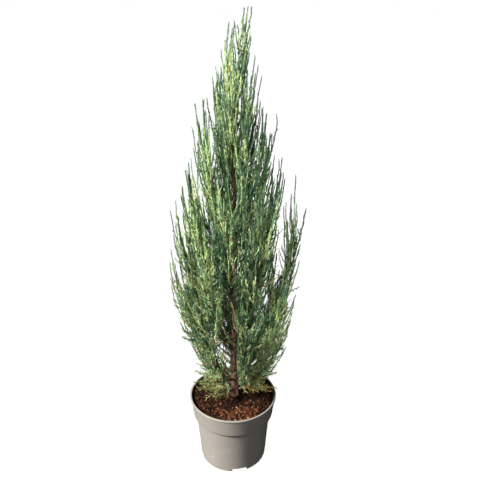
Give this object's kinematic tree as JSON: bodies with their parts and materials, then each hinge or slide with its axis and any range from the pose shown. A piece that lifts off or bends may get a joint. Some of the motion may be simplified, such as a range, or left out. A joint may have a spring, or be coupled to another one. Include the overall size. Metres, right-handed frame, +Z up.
{
  "type": "rocky mountain juniper in a nursery pot",
  "caption": "Narrow upright rocky mountain juniper: steep blue-green plumes round a straight brown trunk, in a round tapered grey-beige nursery pot filled with bark mix.",
  "frame": {"origin": "centre of the pot's flat underside, on the surface that the pot stands on", "axes": "+Z up the trunk, -Y towards the front, +X to the right seen from the front"},
  "size_m": [0.275, 0.26, 0.9851],
  "materials": {
    "pot": "matte warm grey, moulded",
    "potting_mix": "rough, moist bark and fibre",
    "bark": "rough, stringy",
    "foliage": "matte, waxy bloom",
    "young_foliage": "matte, fresh growth",
    "dry_foliage": "matte, dry"
  },
  "bodies": {
    "root": {"pot": "pot", "potting_mix": "potting_mix", "trunk": "bark", "bough_skirt_1": "bark", "bough_skirt_2": "bark", "bough_skirt_3": "bark", "bough_skirt_4": "bark", "bough_skirt_5": "bark", "bough_skirt_6": "bark", "bough_lower_1": "bark", "bough_lower_2": "bark", "bough_lower_3": "bark", "bough_lower_4": "bark", "bough_lower_5": "bark", "bough_lower_6": "bark", "bough_middle_1": "bark", "bough_middle_2": "bark", "bough_middle_3": "bark", "bough_middle_4": "bark", "bough_middle_5": "bark", "plume_skirt_1": "foliage", "plume_skirt_2": "foliage", "plume_skirt_3": "foliage", "plume_skirt_4": "foliage", "plume_skirt_5": "foliage", "plume_skirt_6": "foliage", "plume_lower_1": "foliage", "plume_lower_2": "foliage", "plume_lower_3": "foliage", "plume_lower_4": "foliage", "plume_lower_5": "foliage", "plume_lower_6": "foliage", "plume_middle_1": "foliage", "plume_middle_2": "foliage", "plume_middle_3": "foliage", "plume_middle_4": "foliage", "plume_middle_5": "foliage", "plume_upper_1": "foliage", "plume_upper_2": "foliage", "plume_upper_3": "foliage", "plume_upper_4": "foliage", "plume_upper_5": "foliage", "plume_crown_1": "young_foliage", "plume_crown_2": "young_foliage", "plume_crown_3": "young_foliage", "plume_crown_4": "young_foliage", "plume_crown_5": "young_foliage", "plume_top_1": "young_foliage", "plume_top_2": "young_foliage", "plume_top_3": "young_foliage", "leader": "young_foliage", "sprig_1": "dry_foliage", "sprig_2": "foliage", "sprig_3": "foliage", "sprig_4": "foliage", "sprig_5": "foliage"}
  },
  "joints": []
}
